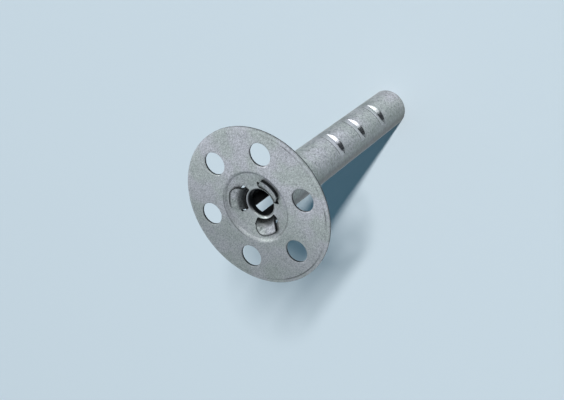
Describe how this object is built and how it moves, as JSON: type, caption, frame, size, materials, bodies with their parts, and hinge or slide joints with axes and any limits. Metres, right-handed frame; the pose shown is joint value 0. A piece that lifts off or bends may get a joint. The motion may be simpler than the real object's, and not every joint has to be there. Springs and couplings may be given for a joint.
{
  "type": "metal fixing dowel",
  "caption": "Metal fixing dowel for insulation boards: a perforated round head with a dished hub and a slit, grooved sleeve held by folded ears.",
  "frame": {"origin": "on the dowel's axis at the end of the sleeve, on the surface that it stands on", "axes": "+Z along the dowel from the sleeve's end to the head, +Y towards the slit, -Y towards the middle of the grooves"},
  "size_m": [0.035, 0.035, 0.0608],
  "materials": {
    "zinc_head": "satin",
    "zinc_sleeve": "satin"
  },
  "bodies": {
    "root": {"disc": "zinc_head", "sleeve": "zinc_sleeve"}
  },
  "joints": []
}
